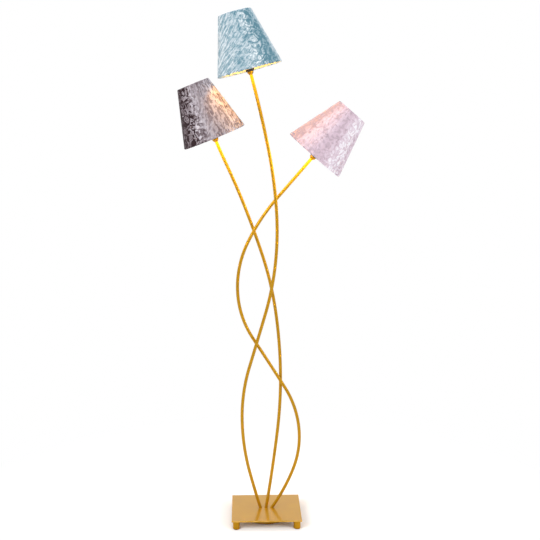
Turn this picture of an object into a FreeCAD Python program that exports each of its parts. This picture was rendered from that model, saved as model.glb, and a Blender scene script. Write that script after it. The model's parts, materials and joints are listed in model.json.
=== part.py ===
import FreeCAD, Part
import math
import os

from FreeCAD import Placement, Rotation, Vector

# Tree floor lamp: a square plate on four feet, weighted underneath, carries three bent
# tube arms that cross. Each arm ends in a cup, a lampholder, a bulb and a velvet shade.
#
# Frame: the origin is on the floor under the middle of the plate, +Z is up, +X is to the
# right and -Y is the front. Sizes are in millimetres, turns in degrees.

# ---------------------------------------------------------------- driving dimensions

# Base
PLATE_SIDE = 220.0
PLATE_THICK = 4.0
PLATE_TOP = 31.0
PLATE_CORNER = 1.0
PLATE_EDGE = 0.5
FOOT_RADIUS = 11.0
FOOT_INSET = 15.0
FOOT_ROUND = 2.0
FOOT_LIFT = 1.0
FOOT_PLACES = {
    "front_left": (-1, -1),
    "front_right": (1, -1),
    "back_left": (-1, 1),
    "back_right": (1, 1),
}
PAD_RADIUS = 8.0
PAD_THICK = 2.5
STUD_RADIUS = 3.0
STUD_LENGTH = 12.0

# Counterweight under the plate
WEIGHT_RADIUS = 68.0
WEIGHT_FLOOR_GAP = 2.0
WEIGHT_ROUND = 2.5
WELL_RADIUS = 36.0
COVER_RADIUS = 48.0
COVER_THICK = 1.5
WEIGHT_STUD_RADIUS = 2.5
WEIGHT_STUD_CIRCLE = 57.0
WEIGHT_STUD_ANGLES = (45, 135, 225, 315)
WEIGHT_STUD_BOTTOM = 4.5
WEIGHT_NUT_SEAT = 10.0
WEIGHT_NUT_HEIGHT = 4.0
WEIGHT_NUT_FLATS = 8.0
WEIGHT_NUT_POCKET = 6.0
COVER_SCREW_CIRCLE = 42.0
COVER_SCREW_ANGLES = (30, 150, 270)
COVER_SCREW_RADIUS = 1.5
COVER_SCREW_HEAD = 2.8
COVER_SCREW_LENGTH = 8.5

# Bush of the cord's inlet, at the back of the counterweight
CORD_HOLE_RADIUS = 3.2
CORD_HEIGHT = 14.5
BUSH_RADIUS = 4.9
BUSH_FLANGE_RADIUS = 7.0
BUSH_SEAT = WEIGHT_RADIUS - 1.0
BUSH_FLANGE = 2.5
BUSH_DEPTH = 8.0

# Terminal block in the counterweight's well
TERMINAL_WIDTH = 30.0
TERMINAL_DEPTH = 17.0
TERMINAL_BOTTOM = 8.0
TERMINAL_FRONT = 13.5
TERMINAL_PITCH = 9.0
TERMINAL_WIRE_HEIGHT = 12.0
TERMINAL_SCREW_RADIUS = 1.6
TERMINAL_SCREW_DEPTH = 6.0

# Arms: round tube, and the slanted hollow nipple that clamps each one to the plate
TUBE_RADIUS = 5.0
TUBE_BORE_RADIUS = 4.0
LEAD_RADIUS = 1.5
NIPPLE_RADIUS = 4.0
NIPPLE_BORE_RADIUS = 2.6
NIPPLE_DROP = 12.0
NIPPLE_PLUG = 12.0
NIPPLE_HOLE_GAP = 0.1
ARM_WASHER_RADIUS = 8.0
ARM_WASHER_THICK = 1.5
ARM_NUT_FLATS = 13.0
ARM_NUT_HEIGHT = 5.0

# Each arm starts on the plate at foot_x. It leans by slant to the right of upright and by
# back towards the rear, and then swings from one bend to the next through points given as
# right, back and up from the middle of the plate's top.
ARMS = {
    "top": {
        "foot_x": -18,
        "slant": -17.0,
        "back": -1.9,
        "bends": [
            (-52, -4, 120), (-76, -9, 300), (-52, -13.5, 470), (-2, -17.5, 640),
            (29, -21.5, 800), (32, -25.5, 960), (7, -30, 1150), (-45, -34, 1372),
        ],
    },
    "left": {
        "foot_x": 0,
        "slant": 9.5,
        "back": 1.9,
        "bends": [
            (36, 8, 250), (46, 15, 460), (31, 20, 640), (-11, 24, 820),
            (-61, 25, 960), (-125, 24, 1110), (-152, 23, 1172),
        ],
    },
    "right": {
        "foot_x": 18,
        "slant": 35.0,
        "back": 0.0,
        "bends": [
            (87, 0, 130), (106, 0, 250), (59, 0, 400), (-42, 0, 560),
            (-88, 0, 700), (-57, -1, 860), (35, -4, 1000), (139, -10, 1120),
        ],
    },
}

# Heads: heights along the arm's last direction, from where the tube enters the cup
CUP_HEIGHT = 9.0
CUP_FOOT_RADIUS = 6.4
CUP_FOOT_BAND = 1.2
CUP_TOP_RADIUS = 9.8
CUP_RIM_BAND = 2.4
CUP_BAND_STEP = 0.5
TUBE_THREAD = 16.0
HOLDER_RADIUS = 13.0
HOLDER_BASE_TOP = 26.0
HOLDER_FLANGE_RADIUS = 16.5
HOLDER_FLANGE_TOP = 28.5
HOLDER_THREAD_RADIUS = 14.0
HOLDER_THREAD_PITCH = 2.0
HOLDER_THREAD_TOP = 44.5
HOLDER_TOP = 62.0
HOLDER_MOUTH_RADIUS = 8.9
CONTACT_SEAT = 33.0
SHELL_TOP = 53.5
SHELL_RADIUS = 7.3
RING_RADIUS = 18.0
RING_BOTTOM = 29.95
RING_TOP = 38.0
RING_GRIPS = 24
FIT_GAP = 0.3

# Shade: a truncated cone of velvet on a stiff liner, hemmed over two wire rings
SHADE_RIM = 13.5
SHADE_HEIGHT = 174.0
SHADE_BOTTOM_RADIUS = 100.0
SHADE_TOP_RADIUS = 50.5
VELVET_THICK = 1.2
LINER_THICK = 0.4
RIM_WIRE_RADIUS = 1.25
HEM_DEPTH = 3.0
SPOKE_RADIUS = 1.2
SPOKE_ANGLES = (90, 210, 330)
CARRIER_RADIUS = 20.5
CARRIER_BOTTOM = 28.6
CARRIER_THICK = 1.2

# Bulb: small screw cap and round opal glass
BULB_TIP = 36.0
BULB_LENGTH = 78.0
BULB_RADIUS = 22.5
BULB_CAP_TOP = 54.0
BULB_CAP_RADIUS = 6.95
BULB_NECK_RADIUS = 8.0
BULB_NECK_FILLET = 12.0
GLASS_THICK = 0.8
CAP_PITCH = 2.82

# Worked out from the dimensions above
UP = Vector(0, 0, 1)
REARWARD = Vector(0, 1, 0)
FLOOR_CENTRE = Vector(0, 0, 0)
PLATE_UNDER = PLATE_TOP - PLATE_THICK
SLOPE_LENGTH = math.hypot(SHADE_HEIGHT, SHADE_BOTTOM_RADIUS - SHADE_TOP_RADIUS)
SLOPE_RISE = SHADE_HEIGHT / SLOPE_LENGTH
SLOPE_DRAW = (SHADE_BOTTOM_RADIUS - SHADE_TOP_RADIUS) / SLOPE_LENGTH
HEM_RADIUS = VELVET_THICK + RIM_WIRE_RADIUS

os.makedirs("parts", exist_ok=True)


# ------------------------------------------------------------------ general geometry

def save(name, shape):
    """Writes one node; a list of solids becomes a group in one file."""
    if isinstance(shape, list):
        shape = Part.makeCompound(shape)
    shape.exportStep("parts/" + name + ".step")


def rod(start, heading, radius, length):
    return Part.makeCylinder(radius, length, start, heading)


def pipe(start, heading, outer, inner, length):
    return rod(start, heading, outer, length).cut(rod(start, heading, inner, length))


def on_circle(radius, angle, height):
    turn = math.radians(angle)
    return Vector(radius * math.cos(turn), radius * math.sin(turn), height)


def turned(outline):
    """Turns a closed outline round the Z axis. The outline is a list of (radius, height)
    corners. Where an item is a pair of such corners, it is an arc from the corner before
    it, through the first of the two, to the second."""
    def at(pair):
        return Vector(pair[0], 0, pair[1])

    edges = []
    here = at(outline[0])
    for item in outline[1:] + [outline[0]]:
        if isinstance(item[0], tuple):
            there = at(item[1])
            edges.append(Part.Arc(here, at(item[0]), there).toShape())
        else:
            there = at(item)
            if here.distanceToPoint(there) > 1e-6:
                edges.append(Part.makeLine(here, there))
        here = there
    face = Part.Face(Part.Wire(edges))
    return face.revolve(FLOOR_CENTRE, UP, 360)


def hexagon_nut(centre, across_flats, bore, height):
    corner = across_flats / math.sqrt(3)
    points = [centre + on_circle(corner, 60 * side + 30, 0) for side in range(7)]
    prism = Part.Face(Part.makePolygon(points)).extrude(UP * height)
    return prism.cut(rod(centre, UP, bore, height))


def heading_of(slant, back):
    """Unit direction that leans slant degrees to the right and back degrees to the rear."""
    across = math.radians(slant)
    rearward = math.radians(back)
    return Vector(
        math.sin(across) * math.cos(rearward),
        math.sin(rearward),
        math.cos(across) * math.cos(rearward),
    )


def arc_run(start, heading, target):
    """The arc that leaves start along heading and ends at target: its centre, its axis,
    its turn in degrees, its radius and its last direction."""
    chord = target - start
    sideways = chord - heading * chord.dot(heading)
    offset = sideways.Length
    inward = sideways * (1 / offset)
    radius = chord.Length ** 2 / (2 * offset)
    turn = 2 * math.atan2(offset, chord.dot(heading))
    last = heading * math.cos(turn) + inward * math.sin(turn)
    return start + inward * radius, heading.cross(inward), math.degrees(turn), radius, last


def bent_tube(start, heading, targets, outer, inner=0.0):
    """A round tube, or a solid rod where inner is 0, along arcs that follow on smoothly
    through the targets. Returns its pieces, its last point, its last direction, its length
    along the middle and its smallest radius."""
    pieces = []
    length = 0.0
    tightest = math.inf
    for target in targets:
        centre, axis, turn, radius, last = arc_run(start, heading, target)
        section = Part.Face(Part.Wire(Part.makeCircle(outer, start, heading)))
        if inner:
            section = section.cut(Part.Face(Part.Wire(Part.makeCircle(inner, start, heading))))
            section = section.Faces[0]
        pieces.append(section.revolve(centre, axis, turn))
        length += radius * math.radians(turn)
        tightest = min(tightest, radius)
        start, heading = target, last
    return pieces, start, heading, length, tightest


def fused(pieces):
    """Joins solids that meet face to face or overlap into one solid."""
    whole = pieces[0]
    if len(pieces) > 1:
        whole = whole.fuse(pieces[1:])
    return whole.removeSplitter().Solids[0]


def bend_points(arm):
    return [Vector(x, y, z + PLATE_TOP) for x, y, z in arm["bends"]]


# ------------------------------------------------------------------------------ base

def base_plate():
    half = PLATE_SIDE / 2
    plate = Part.makeBox(PLATE_SIDE, PLATE_SIDE, PLATE_THICK, Vector(-half, -half, PLATE_UNDER))
    corners = [e for e in plate.Edges if abs(e.tangentAt(e.FirstParameter).z) > 0.5]
    plate = plate.makeFillet(PLATE_CORNER, corners)
    rim = [e for e in plate.Edges if all(abs(v.Z - PLATE_TOP) < 1e-6 for v in e.Vertexes)]
    plate = plate.makeFillet(PLATE_EDGE, rim)
    for arm in ARMS.values():
        foot = Vector(arm["foot_x"], 0, PLATE_UNDER)
        plate = plate.cut(rod(foot, UP, NIPPLE_RADIUS + NIPPLE_HOLE_GAP, PLATE_THICK))
    return plate


def foot_centre(right, rear, height):
    reach = PLATE_SIDE / 2 - FOOT_INSET
    return Vector(right * reach, rear * reach, height)


def foot(right, rear):
    recess = FOOT_LIFT + 1.5
    bore_bottom = PLATE_UNDER - STUD_LENGTH - 1
    corner = FOOT_ROUND * (1 - math.sqrt(0.5))
    post = turned([
        (0, recess),
        (PAD_RADIUS, recess),
        (PAD_RADIUS, FOOT_LIFT),
        (FOOT_RADIUS - FOOT_ROUND, FOOT_LIFT),
        ((FOOT_RADIUS - corner, FOOT_LIFT + corner), (FOOT_RADIUS, FOOT_LIFT + FOOT_ROUND)),
        (FOOT_RADIUS, PLATE_UNDER - 0.4),
        (FOOT_RADIUS - 0.4, PLATE_UNDER),
        (STUD_RADIUS, PLATE_UNDER),
        (STUD_RADIUS, bore_bottom),
        (0, bore_bottom),
    ])
    post.translate(foot_centre(right, rear, 0))
    return post


def foot_pads():
    return [rod(foot_centre(x, y, 0), UP, PAD_RADIUS, PAD_THICK) for x, y in FOOT_PLACES.values()]


def foot_studs():
    low = PLATE_UNDER - STUD_LENGTH
    return [rod(foot_centre(x, y, low), UP, STUD_RADIUS, STUD_LENGTH) for x, y in FOOT_PLACES.values()]


# --------------------------------------------------------------------- counterweight

def counterweight():
    low = WEIGHT_FLOOR_GAP
    step = low + COVER_THICK
    corner = WEIGHT_ROUND * (1 - math.sqrt(0.5))
    disc = turned([
        (WELL_RADIUS, step),
        (COVER_RADIUS + 0.2, step),
        (COVER_RADIUS + 0.2, low),
        (WEIGHT_RADIUS - WEIGHT_ROUND, low),
        ((WEIGHT_RADIUS - corner, low + corner), (WEIGHT_RADIUS, low + WEIGHT_ROUND)),
        (WEIGHT_RADIUS, PLATE_UNDER),
        (WELL_RADIUS, PLATE_UNDER),
    ])
    holes = []
    for angle in WEIGHT_STUD_ANGLES:
        place = on_circle(WEIGHT_STUD_CIRCLE, angle, low)
        holes.append(rod(place, UP, WEIGHT_STUD_RADIUS + 0.25, PLATE_TOP))
        holes.append(rod(place, UP, WEIGHT_NUT_POCKET, WEIGHT_NUT_SEAT - low))
    for angle in COVER_SCREW_ANGLES:
        place = on_circle(COVER_SCREW_CIRCLE, angle, low)
        holes.append(rod(place, UP, COVER_SCREW_RADIUS, COVER_SCREW_LENGTH + 0.5))
    inlet = Vector(0, WELL_RADIUS - 4, CORD_HEIGHT)
    holes.append(rod(inlet, REARWARD, BUSH_RADIUS, WEIGHT_RADIUS))
    seat = Vector(0, BUSH_SEAT, CORD_HEIGHT)
    holes.append(rod(seat, REARWARD, BUSH_FLANGE_RADIUS + FIT_GAP, WEIGHT_RADIUS))
    return disc.cut(holes)


def weight_studs():
    """Studs welded to the plate's underside, which the counterweight hangs on."""
    low = WEIGHT_STUD_BOTTOM
    places = [on_circle(WEIGHT_STUD_CIRCLE, angle, low) for angle in WEIGHT_STUD_ANGLES]
    return [rod(place, UP, WEIGHT_STUD_RADIUS, PLATE_UNDER - low) for place in places]


def weight_nuts():
    low = WEIGHT_NUT_SEAT - WEIGHT_NUT_HEIGHT
    places = [on_circle(WEIGHT_STUD_CIRCLE, angle, low) for angle in WEIGHT_STUD_ANGLES]
    return [hexagon_nut(place, WEIGHT_NUT_FLATS, WEIGHT_STUD_RADIUS, WEIGHT_NUT_HEIGHT) for place in places]


def cover_screw(angle):
    """Countersunk screw, its head level with the cover's underside."""
    low = WEIGHT_FLOOR_GAP
    high = low + COVER_SCREW_LENGTH
    neck = low + COVER_SCREW_HEAD - COVER_SCREW_RADIUS
    screw = turned([
        (0, low),
        (COVER_SCREW_HEAD, low),
        (COVER_SCREW_RADIUS, neck),
        (COVER_SCREW_RADIUS, high),
        (0, high),
    ])
    screw.translate(on_circle(COVER_SCREW_CIRCLE, angle, 0))
    return screw


def cover_screws():
    return [cover_screw(angle) for angle in COVER_SCREW_ANGLES]


def wiring_cover():
    cover = rod(Vector(0, 0, WEIGHT_FLOOR_GAP), UP, COVER_RADIUS, COVER_THICK)
    return cover.cut(cover_screws())


def cord_bush():
    """Flanged bush that lines the cord's inlet at the back."""
    face = BUSH_SEAT + BUSH_FLANGE
    shank = rod(Vector(0, BUSH_SEAT - BUSH_DEPTH, CORD_HEIGHT), REARWARD, BUSH_RADIUS, BUSH_DEPTH)
    flange = rod(Vector(0, BUSH_SEAT, CORD_HEIGHT), REARWARD, BUSH_FLANGE_RADIUS, BUSH_FLANGE)
    rim = [e for e in flange.Edges if e.Closed and abs(e.CenterOfMass.y - face) < 1e-6]
    flange = flange.makeFillet(1.0, rim)
    bore = rod(Vector(0, 0, CORD_HEIGHT), REARWARD, CORD_HOLE_RADIUS, 2 * WEIGHT_RADIUS)
    return fused([shank, flange]).cut(bore)


def terminal_screw_places():
    inset = 4.0
    rows = (TERMINAL_FRONT + inset, TERMINAL_FRONT + TERMINAL_DEPTH - inset)
    return [Vector(pole * TERMINAL_PITCH, row, TERMINAL_BOTTOM) for pole in (-1, 0, 1) for row in rows]


def terminal_block():
    """Three-pole block that hangs from the plate inside the counterweight's well."""
    corner = Vector(-TERMINAL_WIDTH / 2, TERMINAL_FRONT, TERMINAL_BOTTOM)
    block = Part.makeBox(TERMINAL_WIDTH, TERMINAL_DEPTH, PLATE_UNDER - TERMINAL_BOTTOM, corner)
    places = terminal_screw_places()
    return block.cut([rod(place, UP, TERMINAL_SCREW_RADIUS, TERMINAL_SCREW_DEPTH) for place in places])


def terminal_screws():
    sunk = 1.0
    length = TERMINAL_SCREW_DEPTH - sunk
    return [rod(place + UP * sunk, UP, TERMINAL_SCREW_RADIUS, length) for place in terminal_screw_places()]


# ------------------------------------------------------------------------------ arms

def arm_foot(arm):
    return Vector(arm["foot_x"], 0, PLATE_TOP), heading_of(arm["slant"], arm["back"])


def above_plate(shape):
    """Cuts away what a slanted piece has below the top of the plate."""
    side = 80.0
    below = Part.makeBox(side, side, side, Vector(-side / 2, -side / 2, PLATE_TOP - side))
    return shape.cut(below)


def arm_tube(arm):
    """Tube cut off level with the plate at its foot and threaded into the lampholder."""
    start, heading = arm_foot(arm)
    toe = 8.0
    foot_piece = pipe(start - heading * toe, heading, TUBE_RADIUS, TUBE_BORE_RADIUS, toe)
    pieces, tip, last, length, tightest = bent_tube(
        start, heading, bend_points(arm), TUBE_RADIUS, TUBE_BORE_RADIUS)
    thread = pipe(tip, last, TUBE_RADIUS, TUBE_BORE_RADIUS, TUBE_THREAD)
    return above_plate(fused([foot_piece] + pieces + [thread])), tip, last, length, tightest


def arm_nipple(arm):
    """Hollow threaded stem through the plate, with a slanted plug that fills the tube."""
    start, heading = arm_foot(arm)
    stem = rod(start - UP * NIPPLE_DROP, UP, NIPPLE_RADIUS, NIPPLE_DROP)
    plug_radius = TUBE_BORE_RADIUS - 0.15
    toe = 6.0
    plug = above_plate(rod(start - heading * toe, heading, plug_radius, toe + NIPPLE_PLUG))
    bores = [
        rod(start - UP * NIPPLE_DROP, UP, NIPPLE_BORE_RADIUS, NIPPLE_DROP),
        rod(start, heading, NIPPLE_BORE_RADIUS, NIPPLE_PLUG),
        Part.makeSphere(NIPPLE_BORE_RADIUS, start),
    ]
    return fused([stem, plug]).cut(bores)


def arm_washer(arm):
    low = Vector(arm["foot_x"], 0, PLATE_UNDER - ARM_WASHER_THICK)
    return pipe(low, UP, ARM_WASHER_RADIUS, NIPPLE_RADIUS + NIPPLE_HOLE_GAP, ARM_WASHER_THICK)


def arm_nut(arm):
    low = Vector(arm["foot_x"], 0, PLATE_UNDER - ARM_WASHER_THICK - ARM_NUT_HEIGHT)
    return hexagon_nut(low, ARM_NUT_FLATS, NIPPLE_RADIUS, ARM_NUT_HEIGHT)


def arm_lead(arm, pole):
    """Lead from the terminal block, through the nipple and up the arm to the lampholder."""
    start, heading = arm_foot(arm)
    bend = 6.0
    straight = NIPPLE_DROP - bend
    under = start - UP * NIPPLE_DROP
    neck, joint, last, _, neck_radius = bent_tube(
        start - UP * bend, UP, [start + heading * bend], LEAD_RADIUS)
    climb, tip, last, _, _ = bent_tube(joint, last, bend_points(arm), LEAD_RADIUS)
    entry = Vector(pole * TERMINAL_PITCH, TERMINAL_FRONT, TERMINAL_WIRE_HEIGHT)
    swing = Vector((under.x + entry.x) / 2, entry.y / 2, entry.z + 0.5)
    drop, _, _, _, drop_radius = bent_tube(under, -UP, [swing, entry], LEAD_RADIUS)
    stem = rod(under, UP, LEAD_RADIUS, straight)
    end = rod(tip, last, LEAD_RADIUS, 20.0)
    print("lead radii", round(neck_radius, 1), round(drop_radius, 1))
    return fused(drop + [stem] + neck + climb + [end]).cut(terminal_block())


# ----------------------------------------------------------------------------- heads
# Each piece of a head is turned about the Z axis with its own heights, and then carried
# to the arm's end, where Z becomes the arm's last direction.

def cup():
    """Turned bowl with a band round its foot and a wider one round its rim."""
    bore = TUBE_RADIUS + 0.05
    bowl_low = (CUP_FOOT_RADIUS - CUP_BAND_STEP, CUP_FOOT_BAND)
    bowl_high = (CUP_TOP_RADIUS - CUP_BAND_STEP, CUP_HEIGHT - CUP_RIM_BAND)
    bulge = 0.8
    middle = ((bowl_low[0] + bowl_high[0]) / 2 + bulge, (bowl_low[1] + bowl_high[1]) / 2 - bulge)
    return turned([
        (bore, 0),
        (CUP_FOOT_RADIUS, 0),
        (CUP_FOOT_RADIUS, CUP_FOOT_BAND),
        bowl_low,
        (middle, bowl_high),
        (CUP_TOP_RADIUS, CUP_HEIGHT - CUP_RIM_BAND),
        (CUP_TOP_RADIUS, CUP_HEIGHT - 0.4),
        (CUP_TOP_RADIUS - 0.4, CUP_HEIGHT),
        (bore, CUP_HEIGHT),
    ])


def holder_base():
    boss_top = TUBE_THREAD + 1
    cavity = HOLDER_RADIUS - 2.4
    return turned([
        (TUBE_RADIUS + 0.05, CUP_HEIGHT),
        (HOLDER_RADIUS - 1, CUP_HEIGHT),
        (HOLDER_RADIUS, CUP_HEIGHT + 1),
        (HOLDER_RADIUS, HOLDER_BASE_TOP),
        (cavity, HOLDER_BASE_TOP),
        (cavity, boss_top),
        (TUBE_RADIUS + 0.05, boss_top),
    ])


def holder_body():
    """Black sleeve with a flange for the carrier and a thread for the shade ring."""
    outline = [
        (LEAD_RADIUS + 0.5, CONTACT_SEAT),
        (LEAD_RADIUS + 0.5, HOLDER_BASE_TOP - 6),
        (HOLDER_RADIUS - 2.6, HOLDER_BASE_TOP - 6),
        (HOLDER_RADIUS - 2.6, HOLDER_BASE_TOP),
        (HOLDER_FLANGE_RADIUS, HOLDER_BASE_TOP),
        (HOLDER_FLANGE_RADIUS, HOLDER_FLANGE_TOP),
    ]
    root = HOLDER_THREAD_RADIUS - 0.7
    height = HOLDER_FLANGE_TOP
    outline.append((root, height))
    while height + HOLDER_THREAD_PITCH <= HOLDER_THREAD_TOP:
        outline.append((HOLDER_THREAD_RADIUS, height + 0.7))
        outline.append((HOLDER_THREAD_RADIUS, height + 1.2))
        outline.append((root, height + 1.9))
        outline.append((root, height + HOLDER_THREAD_PITCH))
        height += HOLDER_THREAD_PITCH
    outline += [
        (root, HOLDER_TOP - 1),
        (root - 1, HOLDER_TOP),
        (HOLDER_MOUTH_RADIUS, HOLDER_TOP),
        (HOLDER_MOUTH_RADIUS, CONTACT_SEAT),
    ]
    return turned(outline)


def ridged(root, crest, low, high, pitch):
    """Outline of a rolled round thread, as rings, from low up to high."""
    points = []
    height = low
    while height + pitch <= high:
        points.append((root, height))
        points.append(((crest, height + pitch / 2), (root, height + pitch)))
        height += pitch
    return points


def screw_shell():
    """Metal shell that the bulb's cap screws into."""
    low = CONTACT_SEAT + 3.5
    crest = HOLDER_MOUTH_RADIUS - 0.1
    wall = 0.4
    inside = ridged(SHELL_RADIUS, crest - wall, low, SHELL_TOP, CAP_PITCH)
    outside = [(crest, SHELL_TOP), (crest, low)]
    return turned([(SHELL_RADIUS, low)] + inside[1:] + [(SHELL_RADIUS, SHELL_TOP)] + outside)


def centre_contact():
    return rod(Vector(0, 0, CONTACT_SEAT), UP, 3.0, BULB_TIP - FIT_GAP - CONTACT_SEAT)


def shade_ring():
    """Threaded ring with a gripped edge that clamps the shade's carrier."""
    bore = HOLDER_THREAD_RADIUS + FIT_GAP
    ring = turned([
        (bore, RING_BOTTOM),
        (RING_RADIUS, RING_BOTTOM),
        (RING_RADIUS, RING_TOP - 0.6),
        (RING_RADIUS - 0.6, RING_TOP),
        (bore + 0.6, RING_TOP),
        (bore, RING_TOP - 0.6),
    ])
    grips = [rod(on_circle(RING_RADIUS + 0.35, 360 / RING_GRIPS * n, RING_BOTTOM + 1.5), UP, 0.9, 10)
             for n in range(RING_GRIPS)]
    return ring.cut(grips)


def glass_outline(wall):
    """Half outline of the bulb's glass, wall millimetres inside its outer surface."""
    ball = BULB_RADIUS - wall
    neck = BULB_NECK_RADIUS - wall
    fillet = BULB_NECK_FILLET + wall
    centre = BULB_TIP + BULB_LENGTH - BULB_RADIUS
    fillet_centre = centre - math.sqrt((ball + fillet) ** 2 - (neck + fillet) ** 2)
    reach = math.hypot(neck + fillet, centre - fillet_centre)
    meet = (ball * (neck + fillet) / reach, centre - ball * (centre - fillet_centre) / reach)
    side = (meet[0] - neck - fillet, meet[1] - fillet_centre)
    half = math.atan2(side[1], -side[0]) / 2
    middle = (neck + fillet - fillet * math.cos(half), fillet_centre + fillet * math.sin(half))
    crown = (0, centre + ball)
    return [(neck, fillet_centre), (middle, meet), ((ball, centre), crown)]


def bulb_glass():
    seat = BULB_CAP_TOP - 6
    stem = BULB_CAP_RADIUS - 1.0
    outer = turned([(0, seat), (stem, seat), (stem, BULB_CAP_TOP), (BULB_NECK_RADIUS, BULB_CAP_TOP + 1)]
                   + glass_outline(0.0))
    inner = turned([(0, seat - 1), (stem - GLASS_THICK, seat - 1), (stem - GLASS_THICK, BULB_CAP_TOP + 1),
                    (BULB_NECK_RADIUS - GLASS_THICK, BULB_CAP_TOP + 2)] + glass_outline(GLASS_THICK))
    return outer.cut(inner)


def bulb_cap():
    """Metal screw cap with its contact tip."""
    skirt = BULB_CAP_RADIUS - 0.8
    thread_low = BULB_TIP + 4
    ridges = ridged(skirt, BULB_CAP_RADIUS, thread_low, BULB_CAP_TOP - 2, CAP_PITCH)
    inside = BULB_CAP_RADIUS - 1.0
    return turned([(0, BULB_TIP), (2.5, BULB_TIP), (2.5, BULB_TIP + 1.2), (skirt, thread_low)]
                  + ridges[1:]
                  + [(skirt, BULB_CAP_TOP - 2), (BULB_CAP_RADIUS, BULB_CAP_TOP - 1.5),
                     (BULB_CAP_RADIUS, BULB_CAP_TOP), (inside, BULB_CAP_TOP),
                     (inside, BULB_CAP_TOP - 6), (0, BULB_CAP_TOP - 6)])


# ----------------------------------------------------------------------------- shade

def on_wall(along, inward):
    """A point of the shade's wall as (radius, height): along the slope from its bottom
    corner, and inward square to the slope."""
    radius = SHADE_BOTTOM_RADIUS - along * SLOPE_DRAW - inward * SLOPE_RISE
    height = SHADE_RIM + along * SLOPE_RISE - inward * SLOPE_DRAW
    return radius, height


def wire_centres():
    """Wire centres inside the bottom and the top hem, as (radius, height)."""
    return [on_wall(HEM_RADIUS, HEM_RADIUS), on_wall(SLOPE_LENGTH - HEM_RADIUS, HEM_RADIUS)]


def shade_velvet():
    """Velvet cone whose two edges are turned in round the rim wires."""
    low = HEM_RADIUS
    high = SLOPE_LENGTH - HEM_RADIUS
    wire = RIM_WIRE_RADIUS
    inner = VELVET_THICK
    back = HEM_RADIUS + wire
    edge = 2 * HEM_RADIUS
    cone = turned([
        on_wall(low, 0),
        on_wall(high, 0),
        (on_wall(high + HEM_RADIUS, HEM_RADIUS), on_wall(high, edge)),
        on_wall(high - HEM_DEPTH, edge),
        on_wall(high - HEM_DEPTH, back),
        on_wall(high, back),
        (on_wall(high + wire, HEM_RADIUS), on_wall(high, inner)),
        on_wall(low, inner),
        (on_wall(low - wire, HEM_RADIUS), on_wall(low, back)),
        on_wall(low + HEM_DEPTH, back),
        on_wall(low + HEM_DEPTH, edge),
        on_wall(low, edge),
        (on_wall(low - HEM_RADIUS, HEM_RADIUS), on_wall(low, 0)),
    ])
    notches = [spoke(angle, SPOKE_RADIUS + FIT_GAP) for angle in SPOKE_ANGLES]
    return cone.cut(notches)


def shade_liner():
    gap = HEM_RADIUS + RIM_WIRE_RADIUS + FIT_GAP
    high = SLOPE_LENGTH - gap
    back = VELVET_THICK
    face = VELVET_THICK + LINER_THICK
    return turned([on_wall(gap, back), on_wall(high, back), on_wall(high, face), on_wall(gap, face)])


def rim_wires():
    places = wire_centres()
    return [Part.makeTorus(radius, RIM_WIRE_RADIUS, Vector(0, 0, height)) for radius, height in places]


def spoke(angle, radius):
    """Straight wire from the carrier's ring down and out to the bottom rim wire."""
    rim_radius, rim_height = wire_centres()[0]
    inner_end = on_circle(CARRIER_RADIUS - 1.5, angle, CARRIER_BOTTOM + CARRIER_THICK / 2)
    outer_end = on_circle(rim_radius, angle, rim_height)
    run = outer_end - inner_end
    return rod(inner_end, run, radius, run.Length)


def carrier():
    """Washer-like ring on three spokes, welded to the bottom rim wire."""
    hole = HOLDER_THREAD_RADIUS + FIT_GAP + 0.1
    ring = pipe(Vector(0, 0, CARRIER_BOTTOM), UP, CARRIER_RADIUS, hole, CARRIER_THICK)
    whole = fused([ring] + [spoke(angle, SPOKE_RADIUS) for angle in SPOKE_ANGLES])
    return whole.cut(rim_wires()[0])


# -------------------------------------------------------------------------- assembly

def carried(shape, tip, heading):
    """Carries a head piece from the Z axis to the end of an arm."""
    place = Placement(tip, Rotation(UP, heading))
    if isinstance(shape, list):
        return [carried(one, tip, heading) for one in shape]
    moved = shape.copy()
    moved.Placement = place
    return moved


save("base_plate", base_plate())
for place_name, (right, rear) in FOOT_PLACES.items():
    save("foot_" + place_name, foot(right, rear))
save("foot_pads", foot_pads())
save("foot_studs", foot_studs())
save("counterweight", counterweight())
save("weight_studs", weight_studs())
save("weight_nuts", weight_nuts())
save("wiring_cover", wiring_cover())
save("cover_screws", cover_screws())
save("cord_bush", cord_bush())
save("terminal_block", terminal_block())
save("terminal_screws", terminal_screws())
save("arm_nipples", [arm_nipple(arm) for arm in ARMS.values()])
save("arm_washers", [arm_washer(arm) for arm in ARMS.values()])
save("arm_nuts", [arm_nut(arm) for arm in ARMS.values()])

HEAD_PIECES = {
    "cup": cup(),
    "holder_base": holder_base(),
    "holder_body": holder_body(),
    "shade_ring": shade_ring(),
    "shade_velvet": shade_velvet(),
    "shade_liner": shade_liner(),
    "shade_wires": rim_wires(),
    "shade_carrier": carrier(),
    "bulb_glass": bulb_glass(),
    "bulb_cap": bulb_cap(),
}

shells = []
contacts = []
for pole, (name, arm) in zip((-1, 0, 1), ARMS.items()):
    tube, tip, last, length, tightest = arm_tube(arm)
    print(name, "arm", round(length), "long, tightest radius", round(tightest))
    print(name, "head at", tip, "heading", last)
    save(name + "_arm_tube", tube)
    save(name + "_arm_lead", arm_lead(arm, pole))
    for piece_name, piece in HEAD_PIECES.items():
        save(name + "_" + piece_name, carried(piece, tip, last))
    shells.append(carried(screw_shell(), tip, last))
    contacts.append(carried(centre_contact(), tip, last))
save("screw_shells", shells)
save("centre_contacts", contacts)
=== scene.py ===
import json
import math

import bpy
from mathutils import Matrix, Vector, noise


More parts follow.
